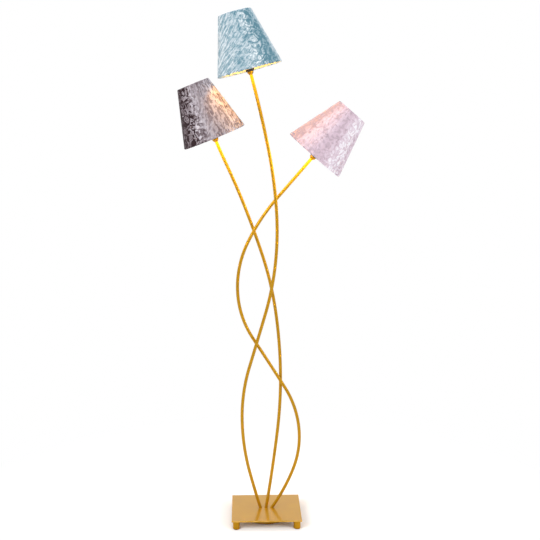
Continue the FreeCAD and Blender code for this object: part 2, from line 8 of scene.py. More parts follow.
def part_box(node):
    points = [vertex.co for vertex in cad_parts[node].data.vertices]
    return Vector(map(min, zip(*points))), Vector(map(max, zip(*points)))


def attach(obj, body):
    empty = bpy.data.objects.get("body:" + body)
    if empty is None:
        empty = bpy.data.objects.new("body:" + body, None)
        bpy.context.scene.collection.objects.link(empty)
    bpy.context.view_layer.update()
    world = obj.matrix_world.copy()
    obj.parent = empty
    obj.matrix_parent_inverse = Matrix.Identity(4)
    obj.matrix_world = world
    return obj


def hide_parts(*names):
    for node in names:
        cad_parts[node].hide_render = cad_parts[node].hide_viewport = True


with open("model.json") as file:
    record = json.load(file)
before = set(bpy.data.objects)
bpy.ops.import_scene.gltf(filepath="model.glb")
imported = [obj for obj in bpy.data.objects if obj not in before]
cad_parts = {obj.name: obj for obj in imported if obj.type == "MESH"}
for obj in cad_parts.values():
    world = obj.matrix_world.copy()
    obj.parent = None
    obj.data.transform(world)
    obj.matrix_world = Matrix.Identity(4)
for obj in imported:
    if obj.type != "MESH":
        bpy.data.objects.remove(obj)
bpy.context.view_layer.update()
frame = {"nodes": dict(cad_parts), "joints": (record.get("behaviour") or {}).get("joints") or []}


# -------------------------------------------------------------------------------- camera
# The lamp is seen from straight in front, about three metres away, from the height of its
# lower shades, through a long lens that takes it in from its feet to its top rim.

EYE = Vector((-0.069, -3.077, 1.270))
LOOK_DOWN = math.radians(8.57)
LOOK_RIGHT = math.radians(1.52)

camera = bpy.data.objects.new("camera", bpy.data.cameras.new("camera"))
bpy.context.scene.collection.objects.link(camera)
camera.location = EYE
camera.rotation_euler = (math.pi / 2 - LOOK_DOWN, 0.0, -LOOK_RIGHT)
camera.data.sensor_width = 36.0
camera.data.lens = 66.67
bpy.context.scene.camera = camera
bpy.context.scene.view_settings.view_transform = "Standard"


# -------------------------------------------------------------------------------- studio
# A pale floor in a white surround, with three wide soft lamps: one above and in front on
# the left, a weaker one on the right, and one overhead.

class Value:
    """One output of a shader node. Arithmetic on it adds Math nodes."""

    def __init__(self, finish, socket):
        self.finish = finish
        self.socket = socket

    def maths(self, operation, first, second):
        return self.finish.node("ShaderNodeMath", {"operation": operation}, {0: first, 1: second})

    def __add__(self, other):
        return self.maths("ADD", self, other)

    def __sub__(self, other):
        return self.maths("SUBTRACT", self, other)

    def __rsub__(self, other):
        return self.maths("SUBTRACT", other, self)

    def __mul__(self, other):
        return self.maths("MULTIPLY", self, other)

    def __abs__(self):
        return self.maths("ABSOLUTE", self, 0.0)

    __radd__ = __add__
    __rmul__ = __mul__


class Finish:
    """The shader nodes of a material or of the world."""

    def __init__(self, owner):
        owner.use_nodes = True
        self.owner = owner
        self.tree = owner.node_tree
        self.tree.nodes.clear()

    def node(self, kind, settings=None, sockets=None, output=0):
        """Adds a node with its settings, then fills its sockets, and gives one output."""
        node = self.tree.nodes.new(kind)
        for name, setting in (settings or {}).items():
            if name == "stops":
                self.set_stops(node.color_ramp, setting)
            else:
                setattr(node, name, setting)
        for name, value in (sockets or {}).items():
            if isinstance(value, Value):
                self.tree.links.new(node.inputs[name], value.socket)
            else:
                node.inputs[name].default_value = value
        return Value(self, node.outputs[output]) if node.outputs else None

    def set_stops(self, ramp, stops):
        while len(ramp.elements) < len(stops):
            ramp.elements.new(1.0)
        for element, (position, colour) in zip(ramp.elements, stops):
            element.position = position
            element.color = (*colour, 1.0)

    def place(self):
        return self.node("ShaderNodeTexCoord", output="Object")

    def noise(self, where, scale, detail=2.0, distortion=0.0):
        return self.node("ShaderNodeTexNoise", {}, {
            "Vector": where, "Scale": scale, "Detail": detail, "Distortion": distortion})

    def ease(self, value, low, high):
        """0 below low, 1 above high, and smooth between them."""
        return self.node("ShaderNodeMapRange", {"interpolation_type": "SMOOTHSTEP"}, {
            "Value": value, "From Min": low, "From Max": high})

    def mix(self, share, first, second):
        return self.node("ShaderNodeMix", {"data_type": "RGBA"}, {
            0: share, 6: (*first, 1.0) if isinstance(first, tuple) else first,
            7: (*second, 1.0) if isinstance(second, tuple) else second}, output=2)

    def relief(self, height, depth, strength=1.0):
        return self.node("ShaderNodeBump", {}, {
            "Height": height, "Distance": depth, "Strength": strength})

    def surface(self, **sockets):
        """Ends a material with a Principled shader, its sockets given with _ for a space."""
        named = {name.replace("_", " "): value for name, value in sockets.items()}
        shader = self.node("ShaderNodeBsdfPrincipled", {}, named)
        self.node("ShaderNodeOutputMaterial", {}, {"Surface": shader})
        return self.owner


def new_finish(name):
    return Finish(bpy.data.materials.new(name))


def floor_paper():
    """White paper round the lamp. Further out it only shows white, so no horizon is seen."""
    finish = new_finish("floor_paper")
    place = finish.place()
    mottle = finish.noise(place, 3.0)
    colour = finish.mix(mottle, (0.93, 0.93, 0.93), (0.96, 0.96, 0.96))
    paper = finish.node("ShaderNodeBsdfDiffuse", {}, {"Color": colour, "Roughness": 1.0})
    white = finish.node("ShaderNodeEmission", {}, {"Color": (1, 1, 1, 1), "Strength": 1.0})
    distance = finish.node("ShaderNodeVectorMath", {"operation": "LENGTH"}, {0: place}, "Value")
    seen = finish.node("ShaderNodeLightPath", output="Is Camera Ray")
    far = finish.ease(distance, 0.35, 1.1) * seen
    mixed = finish.node("ShaderNodeMixShader", {}, {0: far, 1: paper, 2: white})
    finish.node("ShaderNodeOutputMaterial", {}, {"Surface": mixed})
    return finish.owner


def white_surround():
    """White where the camera, gloss or glass sees it, but for the dimmer room in front of
    the lamp, which only its polished parts mirror, and the studio's soft light."""
    AMBIENT = 0.62
    ROOM = 0.25
    world = bpy.data.worlds.new("surround")
    bpy.context.scene.world = world
    finish = Finish(world)
    seen, mirrored, through = (
        finish.node("ShaderNodeLightPath", output="Is " + ray + " Ray")
        for ray in ("Camera", "Glossy", "Transmission"))
    facing = finish.node("ShaderNodeTexCoord", output="Generated")
    rearward = finish.node("ShaderNodeSeparateXYZ", {}, {0: facing}, "Y")
    white = ROOM + (1.0 - ROOM) * finish.ease(rearward, -0.9, -0.1)
    strength = AMBIENT + (1.0 - AMBIENT) * (seen + through) + (white - AMBIENT) * mirrored
    shader = finish.node("ShaderNodeBackground", {}, {"Color": (1, 1, 1, 1), "Strength": strength})
    finish.node("ShaderNodeOutputWorld", {}, {"Surface": shader})


def soft_lamp(name, place, aim, width, watts):
    lamp = bpy.data.objects.new(name, bpy.data.lights.new(name, "AREA"))
    bpy.context.scene.collection.objects.link(lamp)
    lamp.location = place
    lamp.rotation_euler = (Vector(aim) - Vector(place)).to_track_quat("-Z", "Y").to_euler()
    lamp.data.size = width
    lamp.data.energy = watts
    lamp.visible_camera = False


bpy.ops.object.select_all(action="DESELECT")
bpy.ops.mesh.primitive_plane_add(size=60.0)
floor = bpy.context.object
floor.name = "floor"
floor.data.materials.append(floor_paper())
white_surround()
soft_lamp("lamp_left", (-2.2, -2.6, 2.6), (0, 0, 1.0), 1.8, 62.0)
soft_lamp("lamp_right", (2.6, -2.2, 1.8), (0, 0, 0.9), 1.6, 26.0)
soft_lamp("lamp_above", (0.2, 0.6, 3.4), (0, 0, 0.2), 1.8, 34.0)


# ---------------------------------------------------------------------------------- base
# A square of 4 mm steel stands on four turned steel feet. All of it is sprayed with gold
# enamel under a clear coat. The plate's edges are painted paler, partly as wear where hands
# take hold of them and partly as a painted highlight where light catches the edge.

DEEP_GOLD = (0.46, 0.222, 0.004)
WARM_GOLD = (0.54, 0.290, 0.010)
# Paler gold for the plate's edges: worn paint and a painted edge highlight.
WORN_AND_HIGHLIT_GOLD = (0.74, 0.45, 0.09)
GOLD_EDGE = (1.0, 0.78, 0.35, 1.0)


def gold_enamel(name, metallic, coat, worn_and_highlit=None):
    """Gold paint under a glossy clear coat. The last argument gives where the paint is painted paler, as
    wear and as a painted highlight.
    """
    finish = new_finish(name)
    place = finish.place()
    cloud = finish.noise(place, 22.0, 2.0)
    flake = finish.noise(place, 2600.0, 1.0)
    colour = finish.mix(cloud * 0.9 + flake * 0.1, DEEP_GOLD, WARM_GOLD)
    if worn_and_highlit:
        colour = finish.mix(worn_and_highlit(finish, place), colour, WORN_AND_HIGHLIT_GOLD)
    peel = finish.noise(place, 500.0, 1.0)
    return finish.surface(
        Base_Color=colour,
        Metallic=metallic,
        Roughness=0.26 + 0.1 * cloud,
        Specular_Tint=GOLD_EDGE,
        Coat_Weight=coat,
        Coat_Roughness=0.03,
        Coat_IOR=1.45,
        Normal=finish.relief(peel, 0.000003, 0.05),
    )


def dress(names, finish):
    """Gives solids of the frame a material in place of their plain one."""
    for name in names:
        for slot in frame["nodes"][name].material_slots:
            slot.material = finish


def plate_edge_wear_and_highlight(finish, place):
    """Pale along the plate's rim in short uneven stretches: worn paint, and a painted highlight where
    light catches the edge.
    """
    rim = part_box("base_plate")[1].x
    across = abs(finish.node("ShaderNodeSeparateXYZ", {}, {0: place}, "X"))
    along = abs(finish.node("ShaderNodeSeparateXYZ", {}, {0: place}, "Y"))
    outward = across.maths("MAXIMUM", across, along)
    edge_patchiness = finish.noise(place, 60.0, 3.0)
    return finish.ease(outward + 0.002 * edge_patchiness, rim + 0.0004, rim + 0.0012) * 0.7


FEET = ["foot_front_left", "foot_front_right", "foot_back_left", "foot_back_right"]
dress(["base_plate"], gold_enamel("gold_enamel_plate", 0.25, 0.45, plate_edge_wear_and_highlight))
dress(FEET, gold_enamel("gold_enamel_feet", 0.7, 0.15))


def glide_rubber(name, colour):
    """Dull moulded rubber with a fine pitted skin."""
    finish = new_finish(name)
    place = finish.place()
    dust = finish.noise(place, 90.0, 4.0)
    pits = finish.noise(place, 1500.0, 2.0)
    paler = tuple(min(1.0, part * 1.7 + 0.01) for part in colour)
    return finish.surface(
        Base_Color=finish.mix(dust, colour, paler),
        Roughness=0.75 + 0.15 * pits,
        Normal=finish.relief(pits, 0.00006, 0.5),
    )


def zinc_plate(name):
    """Zinc-plated steel: pale grey with a faint spangle and turning marks."""
    finish = new_finish(name)
    place = finish.place()
    spangle = finish.noise(place, 260.0, 3.0, 0.6)
    marks = finish.noise(place, 1800.0, 1.0)
    return finish.surface(
        Base_Color=finish.mix(spangle, (0.50, 0.51, 0.52), (0.68, 0.68, 0.66)),
        Metallic=1.0,
        Roughness=0.32 + 0.15 * marks,
        Normal=finish.relief(marks, 0.00003, 0.4),
    )


dress(["foot_pads"], glide_rubber("pad_rubber", (0.035, 0.032, 0.030)))
bright_zinc = zinc_plate("bright_zinc")
dress(["foot_studs"], bright_zinc)


# -------------------------------------------------------------------------- counterweight
# A cast-iron disc hangs on four studs welded under the plate. It is sprayed with the same
# gold enamel, which shows the grain of the casting. A steel cover closes its wiring well.

def cast_enamel(name):
    finish = new_finish(name)
    place = finish.place()
    cloud = finish.noise(place, 26.0, 3.0)
    grain = finish.noise(place, 420.0, 4.0)
    colour = finish.mix(cloud * 0.5 + grain * 0.5, DEEP_GOLD, WARM_GOLD)
    return finish.surface(
        Base_Color=colour,
        Metallic=0.6,
        Roughness=0.36 + 0.16 * grain,
        Coat_Weight=0.6,
        Coat_Roughness=0.12,
        Normal=finish.relief(grain, 0.0003, 0.6),
    )


dress(["counterweight"], cast_enamel("gold_enamel_casting"))
dress(["wiring_cover"], gold_enamel("gold_enamel_cover", 0.5, 0.5))
dress(["weight_studs", "weight_nuts"], bright_zinc)

# Each cover screw is a countersunk steel screw with a cross in its head.
SCREW_ANGLES = (30, 150, 270)
SCREW_HEAD = 0.0028
SCREW_SHANK = 0.0015
CROSS_LENGTH = 0.0034
CROSS_WIDTH = 0.0007
CROSS_DEPTH = 0.0011


def cut_or_add(body, tool, operation):
    """Takes a helper solid away from a body, or adds it, and removes the helper."""
    change = body.modifiers.new("change", "BOOLEAN")
    change.operation = operation
    change.object = tool
    bpy.ops.object.select_all(action="DESELECT")
    body.select_set(True)
    bpy.context.view_layer.objects.active = body
    bpy.ops.object.modifier_apply(modifier=change.name)
    bpy.data.objects.remove(tool)


def cover_screw(name, centre, low, high):
    """A countersunk screw that points up, with its cross recess in the head below."""
    cone = SCREW_HEAD - SCREW_SHANK
    bpy.ops.object.select_all(action="DESELECT")
    bpy.ops.mesh.primitive_cone_add(
        vertices=32, radius1=SCREW_HEAD, radius2=SCREW_SHANK, depth=cone,
        location=(centre.x, centre.y, low + cone / 2))
    screw = bpy.context.object
    screw.name = name
    bpy.ops.mesh.primitive_cylinder_add(
        vertices=32, radius=SCREW_SHANK, depth=high - low - cone / 2,
        location=(centre.x, centre.y, (low + cone / 2 + high) / 2))
    cut_or_add(screw, bpy.context.object, "UNION")
    for arm in ((CROSS_LENGTH, CROSS_WIDTH), (CROSS_WIDTH, CROSS_LENGTH)):
        bpy.ops.mesh.primitive_cube_add(size=1.0, location=(centre.x, centre.y, low))
        blade = bpy.context.object
        blade.scale = (*arm, 2 * CROSS_DEPTH)
        cut_or_add(screw, blade, "DIFFERENCE")
    bpy.ops.object.transform_apply(location=True, rotation=True, scale=True)
    return screw


def joined(name, parts):
    """Makes one object of several, under one name."""
    bpy.ops.object.select_all(action="DESELECT")
    for part in parts:
        part.select_set(True)
    bpy.context.view_layer.objects.active = parts[0]
    bpy.ops.object.join()
    whole = bpy.context.object
    whole.name = name
    whole.data.name = name
    return whole


screw_low, screw_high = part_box("cover_screws")
screw_circle = -screw_low.y - SCREW_HEAD
screws = []
for angle in SCREW_ANGLES:
    turn = math.radians(angle)
    centre = Vector((math.cos(turn), math.sin(turn), 0)) * screw_circle
    screws.append(cover_screw("cross_screw", centre, screw_low.z, screw_high.z))
cross_screws = joined("cross_head_screws", screws)
cross_screws.data.materials.append(bright_zinc)
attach(cross_screws, "stand")
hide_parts("cover_screws")


# ---------------------------------------------------------------------------- wiring well
# The mains cord enters through a rubber bush at the back. Inside the well a nylon block
# with brass screws joins it to the three leads.

def nylon(name):
    finish = new_finish(name)
    place = finish.place()
    cloud = finish.noise(place, 120.0, 3.0)
    return finish.surface(
        Base_Color=finish.mix(cloud, (0.78, 0.76, 0.69), (0.86, 0.85, 0.80)),
        Roughness=0.42 + 0.1 * cloud,
        Subsurface_Weight=0.1,
        Normal=finish.relief(finish.noise(place, 900.0), 0.00003, 0.4),
    )


def contact_brass(name):
    finish = new_finish(name)
    place = finish.place()
    tarnish = finish.noise(place, 180.0, 4.0)
    return finish.surface(
        Base_Color=finish.mix(tarnish, (0.55, 0.36, 0.10), (0.80, 0.58, 0.24)),
        Metallic=1.0,
        Roughness=0.25 + 0.2 * tarnish,
        Normal=finish.relief(finish.noise(place, 1400.0), 0.00002, 0.4),
    )


bare_brass = contact_brass("bare_brass")
dress(["cord_bush"], glide_rubber("bush_rubber", (0.016, 0.016, 0.017)))
dress(["terminal_block"], nylon("terminal_nylon"))
dress(["terminal_screws", "screw_shells", "centre_contacts"], bare_brass)
dress(["arm_nipples", "arm_washers", "arm_nuts"], bright_zinc)


# ---------------------------------------------------------------------------------- arms
# Three 10 mm steel tubes, bent cold into slow curves and enamelled gold. Each is clamped
# to the plate from below, and its cup at the top hides where the lampholder screws on.

HEADS = ["top", "left", "right"]
TUBE_RADIUS = 0.005
TUBE_WALL = 0.001
TUBE_SIDES = 32
TUBE_STEP = 0.004
TUBE_TOE = 0.008
TUBE_THREAD = 0.016

# Where each tube stands on the plate, how many degrees it leans to the right and to the
# back there, and where its bends end, as (right, back, up) from the plate's middle.
ARMS = {
    "top": (-0.018, -17.0, -1.9, [
        (-0.052, -0.004, 0.120), (-0.076, -0.009, 0.300), (-0.052, -0.0135, 0.470),
        (-0.002, -0.0175, 0.640), (0.029, -0.0215, 0.800), (0.032, -0.0255, 0.960),
        (0.007, -0.030, 1.150), (-0.045, -0.034, 1.372)]),
    "left": (0.0, 9.5, 1.9, [
        (0.036, 0.008, 0.250), (0.046, 0.015, 0.460), (0.031, 0.020, 0.640),
        (-0.011, 0.024, 0.820), (-0.061, 0.025, 0.960), (-0.125, 0.024, 1.110),
        (-0.152, 0.023, 1.172)]),
    "right": (0.018, 35.0, 0.0, [
        (0.087, 0.0, 0.130), (0.106, 0.0, 0.250), (0.059, 0.0, 0.400), (-0.042, 0.0, 0.560),
        (-0.088, 0.0, 0.700), (-0.057, -0.001, 0.860), (0.035, -0.004, 1.000),
        (0.139, -0.010, 1.120)]),
}


def push_ring(way):
    """Draws the selected ring of a tube on in a straight line."""
    bpy.ops.mesh.extrude_region_move(TRANSFORM_OT_translate={"value": way})


def swing_ring(start, heading, target):
    """Draws the selected ring on along the arc that leaves start along heading and ends at
    target, and gives the direction there."""
    chord = target - start
    sideways = chord - heading * chord.dot(heading)
    inward = sideways.normalized()
    radius = chord.length_squared / (2 * sideways.length)
    turn = 2 * math.atan2(sideways.length, chord.dot(heading))
    bpy.ops.mesh.spin(
        steps=math.ceil(radius * turn / TUBE_STEP), angle=turn,
        center=start + inward * radius, axis=inward.cross(heading))
    return heading * math.cos(turn) + inward * math.sin(turn)


def arm_tube(name, foot_x, slant, back, bends):
    """A ring drawn along the arm's bends, cut off level with the plate, with a real wall."""
    across, rearward = math.radians(slant), math.radians(back)
    heading = Vector((math.sin(across) * math.cos(rearward), math.sin(rearward),
                      math.cos(across) * math.cos(rearward)))
    foot = Vector((0, 0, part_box("base_plate")[1].z))
    start = foot + Vector((foot_x, 0, 0))
    bpy.ops.object.select_all(action="DESELECT")
    bpy.ops.mesh.primitive_circle_add(
        vertices=TUBE_SIDES, radius=TUBE_RADIUS, location=start - heading * TUBE_TOE,
        rotation=heading.to_track_quat("Z", "Y").to_euler())
    tube = bpy.context.object
    tube.name = name
    bpy.ops.object.transform_apply(location=True, rotation=True, scale=True)
    bpy.ops.object.mode_set(mode="EDIT")
    bpy.ops.mesh.select_all(action="SELECT")
    push_ring(heading * TUBE_TOE)
    for bend in bends:
        target = foot + Vector(bend)
        heading = swing_ring(start, heading, target)
        start = target
    push_ring(heading * TUBE_THREAD)
    bpy.ops.mesh.select_all(action="SELECT")
    bpy.ops.mesh.bisect(plane_co=foot, plane_no=(0, 0, 1), clear_inner=True)
    bpy.ops.mesh.select_all(action="SELECT")
    bpy.ops.mesh.normals_make_consistent(inside=False)
    bpy.ops.object.mode_set(mode="OBJECT")
    wall = tube.modifiers.new("wall", "SOLIDIFY")
    wall.thickness = TUBE_WALL
    wall.offset = -1.0
    bpy.ops.object.modifier_apply(modifier=wall.name)
    bpy.ops.object.shade_smooth_by_angle(angle=math.radians(40))
    return tube


tube_enamel = gold_enamel("gold_enamel_tube", 0.5, 0.1)
tubes = bpy.data.collections.new("tubes")
for head, (foot_x, slant, back, bends) in ARMS.items():
    tube = arm_tube(head + "_tube", foot_x, slant, back, bends)
    tube.data.materials.append(tube_enamel)
    tubes.objects.link(tube)
    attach(tube, "stand")
    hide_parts(head + "_arm_tube")

dress([head + "_cup" for head in HEADS], gold_enamel("gold_enamel_cup", 0.6, 0.1))


def lead_sheath(name):
    finish = new_finish(name)
    place = finish.place()
    cloud = finish.noise(place, 150.0, 3.0)
    return finish.surface(
        Base_Color=finish.mix(cloud, (0.66, 0.62, 0.52), (0.78, 0.75, 0.66)),
        Roughness=0.4 + 0.1 * cloud,
        Normal=finish.relief(finish.noise(place, 1100.0), 0.00002, 0.4),
    )


dress([head + "_arm_lead" for head in HEADS], lead_sheath("lead_sheath"))


# --------------------------------------------------------------------------- lampholders
# Each lampholder is moulded in black phenolic: a base, a threaded sleeve and a gripped
# ring that clamps the shade. The moulding has a satin skin with a fine grain.

def black_phenolic(name):
    finish = new_finish(name)
    place = finish.place()
    cloud = finish.noise(place, 160.0, 3.0)
    grain = finish.noise(place, 1600.0, 2.0)
    return finish.surface(
        Base_Color=finish.mix(cloud, (0.008, 0.008, 0.009), (0.022, 0.021, 0.020)),
        Roughness=0.36 + 0.14 * grain,
        Normal=finish.relief(grain, 0.00004, 0.5),
    )


HOLDER_PIECES = ["_holder_base", "_holder_body", "_shade_ring"]
holder_black = black_phenolic("holder_black")
dress([head + piece for head in HEADS for piece in HOLDER_PIECES], holder_black)


# -------------------------------------------------------------------------- shade frames
# A flat ring on three spokes is spot-welded to the bottom rim wire, and a second wire
# stiffens the top. Both are powder coated white. A white sheet behind the cloth is rolled
# into a cone and glued along its back.

def white_powder(name):
    finish = new_finish(name)
    place = finish.place()
    cloud = finish.noise(place, 140.0, 3.0)
    return finish.surface(
        Base_Color=finish.mix(cloud, (0.72, 0.70, 0.65), (0.82, 0.81, 0.77)),
        Roughness=0.5 + 0.1 * cloud,
        Normal=finish.relief(finish.noise(place, 1300.0), 0.00005, 0.4),
    )


def liner_sheet(name):
    """Stiff white sheet with a faint calendered grain, warm from the bulb's heat."""
    finish = new_finish(name)
    place = finish.place()
    cloud = finish.noise(place, 24.0, 3.0)
    return finish.surface(
        Base_Color=finish.mix(cloud, (0.74, 0.70, 0.60), (0.82, 0.79, 0.71)),
        Roughness=0.55 + 0.1 * cloud,
        Normal=finish.relief(finish.noise(place, 800.0), 0.00004, 0.4),
    )


wire_white = white_powder("wire_white")
dress([head + "_shade_wires" for head in HEADS], wire_white)
dress([head + "_shade_carrier" for head in HEADS], wire_white)
dress([head + "_shade_liner" for head in HEADS], liner_sheet("liner_white"))


def head_matrix(head):
    """Carries a shape from the Z axis to where a head's parts stand, on the arm's end."""
    joint = next(j for j in frame["joints"] if j["name"] == head + "_shade_swivel")
    turn = Vector((0, 0, 1)).rotation_difference(Vector(joint["axis"]))
    return Matrix.Translation(joint["pos_m"]) @ turn.to_matrix().to_4x4()


# ---------------------------------------------------------------------------- shade cloth
# Crushed velvet is stretched over the liner and its two edges are rolled in round the rim
# wires, with one lapped seam at the back. Its pile was crushed in all directions, so it
# lies in patches that look silver or dark, with creases between them.

RIM_HEIGHT = 0.0135
SHADE_HEIGHT = 0.174
BOTTOM_RADIUS = 0.100
TOP_RADIUS = 0.0505
SLOPE = math.hypot(SHADE_HEIGHT, BOTTOM_RADIUS - TOP_RADIUS)
RISE = SHADE_HEIGHT / SLOPE
DRAW = (BOTTOM_RADIUS - TOP_RADIUS) / SLOPE
HEM_RADIUS = 0.00245
HEM_FLAP = 0.003
HEM_STEPS = 8
CLOTH_THICK = 0.0008
SEAM_LAP = 0.010
SEAM_RISE = 0.0005
SEAM_EASE = 0.0012
CREASE_DEPTH = 0.00035
CREASE_WIDTH = 0.09
THREADS_ROUND = 312
ROWS = 92

# Blender's noise vectors start from the clock unless they are given a number to start from.
noise.seed_set(1)


def on_slope(along, inward):
    """A point of the shade's section as (radius, height), from its bottom corner."""
    radius = BOTTOM_RADIUS - along * DRAW - inward * RISE
    return radius, RIM_HEIGHT + along * RISE - inward * DRAW


def hem_arc(centre_along, first, last):
    """The rolled edge round a rim wire, from one angle to another in degrees."""
    arc = []
    for step in range(1, HEM_STEPS + 1):
        angle = math.radians(first + (last - first) * step / HEM_STEPS)
        arc.append(on_slope(centre_along + HEM_RADIUS * math.sin(angle),
                            HEM_RADIUS * (1 - math.cos(angle))))
    return arc


def cloth_section():
    """The cloth's section: bottom flap, rolled hem, outer face, rolled hem and top flap."""
    low = HEM_RADIUS
    high = SLOPE - HEM_RADIUS
    face = [on_slope(low + (high - low) * row / ROWS, 0.0) for row in range(ROWS + 1)]
    bottom = [on_slope(low + HEM_FLAP, 2 * HEM_RADIUS)] + hem_arc(low, -180, 0)[:-1]
    bottom.insert(1, on_slope(low, 2 * HEM_RADIUS))
    top = hem_arc(high, 0, 180) + [on_slope(high - HEM_FLAP, 2 * HEM_RADIUS)]
    return bottom + face + top


def lay_and_sheen_at(angle, lay_and_sheen):
    """The pile's lean with its painted sheen bands, its ruffle and its streak at an angle round
    the shade, eased between the stops of the table, which are (degrees to the right of the
    front, lean with painted sheen, ruffle, streak)."""
    degrees = math.degrees(angle) % 360
    stops = lay_and_sheen + [(lay_and_sheen[0][0] + 360, *lay_and_sheen[0][1:])]
    for (start, *first), (end, *second) in zip(stops, stops[1:]):
        if start <= degrees <= end:
            share = (degrees - start) / (end - start)
            share = share * share * (3 - 2 * share)
            return [a + (b - a) * share for a, b in zip(first, second)]


def crush(point, seed):
    """Crushed pile at a point of the cloth, about -1 to 1. It is 0 along the creases."""
    shift = Vector((seed, seed * 0.7, -seed))
    swirl = noise.noise_vector(point * 38.0 + shift) * 0.009
    wide = noise.noise((point + swirl) * 62.0 + shift)
    close = noise.noise((point + swirl * 0.6) * 150.0 - shift)
    return wide * 0.9 + close * 0.55


def velvet_sheet(name, lay_and_sheen, seed):
    """A cone of cloth with creased relief. It keeps, for its material, each point's place
    before the shade is tilted, and how its pile lies together with the painted sheen bands."""
    section = cloth_section()
    points = [(radius, 0.0, height) for radius, height in section]
    edges = [(n, n + 1) for n in range(len(points) - 1)]
    mesh = bpy.data.meshes.new(name)
    mesh.from_pydata(points, edges, [])
    sheet = bpy.data.objects.new(name, mesh)
    bpy.context.scene.collection.objects.link(sheet)
    bpy.ops.object.select_all(action="DESELECT")
    sheet.select_set(True)
    bpy.context.view_layer.objects.active = sheet
    bpy.ops.object.mode_set(mode="EDIT")
    bpy.ops.mesh.select_all(action="SELECT")
    bpy.ops.mesh.spin(steps=THREADS_ROUND, angle=2 * math.pi, center=(0, 0, 0), axis=(0, 0, 1))
    bpy.ops.mesh.select_all(action="SELECT")
    bpy.ops.mesh.remove_doubles(threshold=0.00005)
    bpy.ops.mesh.normals_make_consistent(inside=False)
    bpy.ops.object.mode_set(mode="OBJECT")
    outward = sum(p.normal.dot(Vector((p.center.x, p.center.y, 0))) * p.area for p in mesh.polygons)
    if outward < 0:
        mesh.flip_normals()
    places, leans_and_sheen, ruffles, streaks, moved = [], [], [], [], []
    for vertex in mesh.vertices:
        place = vertex.co.copy()
        angle = math.atan2(place.x, -place.y)
        crushed = crush(place, seed)
        crease = math.exp(-(crushed / CREASE_WIDTH) ** 2)
        lap = SEAM_LAP / 2 - abs(abs(angle) - math.pi) * math.hypot(place.x, place.y)
        seam = min(1.0, max(0.0, lap / SEAM_EASE))
        rise = SEAM_RISE * seam - CREASE_DEPTH * crease + 0.25 * CREASE_DEPTH * crushed
        # Each point's tone takes the pile's crush and the table's wide bands of painted sheen.
        lean, ruffle, streak = lay_and_sheen_at(angle, lay_and_sheen)
        places.extend(place)
        leans_and_sheen.append(lean + 0.5 * ruffle * crushed)
        ruffles.append(ruffle)
        streaks.append(streak)
        moved.extend(place + vertex.normal * rise)
    mesh.attributes.new("cloth", "FLOAT_VECTOR", "POINT").data.foreach_set("vector", places)
    mesh.attributes.new("lean", "FLOAT", "POINT").data.foreach_set("value", leans_and_sheen)
    mesh.attributes.new("ruffle", "FLOAT", "POINT").data.foreach_set("value", ruffles)
    mesh.attributes.new("streak", "FLOAT", "POINT").data.foreach_set("value", streaks)
    mesh.vertices.foreach_set("co", moved)
    thickness = sheet.modifiers.new("thickness", "SOLIDIFY")
    thickness.thickness = CLOTH_THICK
    thickness.offset = -1.0
    bpy.ops.object.modifier_apply(modifier=thickness.name)
    bpy.ops.object.shade_smooth()
    return sheet


def crushed_velvet(name, tones, twist):
    """Crushed pile in silver and dark patches, over wide bands of painted sheen round the cone.
    tones are five colours from dark to bright, and twist is how the fine strokes slant round the cone."""
    finish = new_finish(name)
    place = finish.node("ShaderNodeAttribute", {"attribute_name": "cloth"}, output="Vector")
    lean = finish.node("ShaderNodeAttribute", {"attribute_name": "lean"}, output="Fac")
    ruffle = finish.node("ShaderNodeAttribute", {"attribute_name": "ruffle"}, output="Fac")
    streak = finish.node("ShaderNodeAttribute", {"attribute_name": "streak"}, output="Fac")
    height = finish.node("ShaderNodeSeparateXYZ", {}, {0: place}, "Z")
    leaning = finish.node("ShaderNodeVectorRotate", {"rotation_type": "Z_AXIS"}, {
        "Vector": place, "Angle": height * twist})
    drawn = finish.node("ShaderNodeMapping", {}, {"Vector": leaning, "Scale": (1.0, 1.0, 0.2)})
    patches = finish.noise(place, 46.0, 2.0, 2.2)
    strokes = finish.noise(drawn, 150.0, 1.5, 0.8)
    flecks = finish.noise(place, 105.0, 1.0, 1.0)
    fibres = finish.noise(drawn, 420.0, 2.0)
    crisp_patches = finish.ease(patches, 0.475, 0.525) - 0.5
    crisp_strokes = finish.ease(strokes, 0.47, 0.53) - 0.5
    # Thin bright lines at the patches' edges: curly marks of the pile, and a painted highlight where the
    # pile faces out along those edges.
    curls_and_ridge_highlights = 1.0 - finish.ease(abs(patches - 0.555), 0.002, 0.018)
    hollows = finish.ease(flecks, 0.62, 0.68)
    blotched = crisp_patches * 1.4 + curls_and_ridge_highlights * 0.7 - hollows * 0.9
    drawn_out = crisp_strokes * 1.6 + crisp_patches * 0.4
    pattern = blotched + (drawn_out - blotched) * streak + (fibres - 0.5) * 0.8
    tone = lean + pattern * ruffle
    stops = list(zip((0.0, 0.25, 0.5, 0.75, 1.0), tones))
    colour = finish.node("ShaderNodeValToRGB", {"stops": stops}, {"Fac": tone})
    relief = strokes * 0.6 + patches * 0.6 + fibres * 0.15
    return finish.surface(
        Base_Color=colour,
        Roughness=0.85,
        Specular_IOR_Level=0.2,
        Sheen_Weight=0.08,
        Sheen_Roughness=0.4,
        Sheen_Tint=(*tones[4], 1.0),
        Normal=finish.relief(relief, 0.0008, 0.5),
    )


SILVER_BLUE = [(0.100, 0.225, 0.290), (0.225, 0.355, 0.425), (0.385, 0.495, 0.560),
               (0.560, 0.630, 0.675), (0.800, 0.865, 0.900)]
GREY_MAUVE = [(0.030, 0.015, 0.018), (0.127, 0.093, 0.104), (0.305, 0.262, 0.287),
              (0.515, 0.468, 0.509), (0.753, 0.716, 0.776)]
PALE_LILAC = [(0.400, 0.310, 0.360), (0.610, 0.474, 0.558), (0.694, 0.578, 0.665),
              (0.807, 0.730, 0.807), (0.922, 0.896, 0.955)]
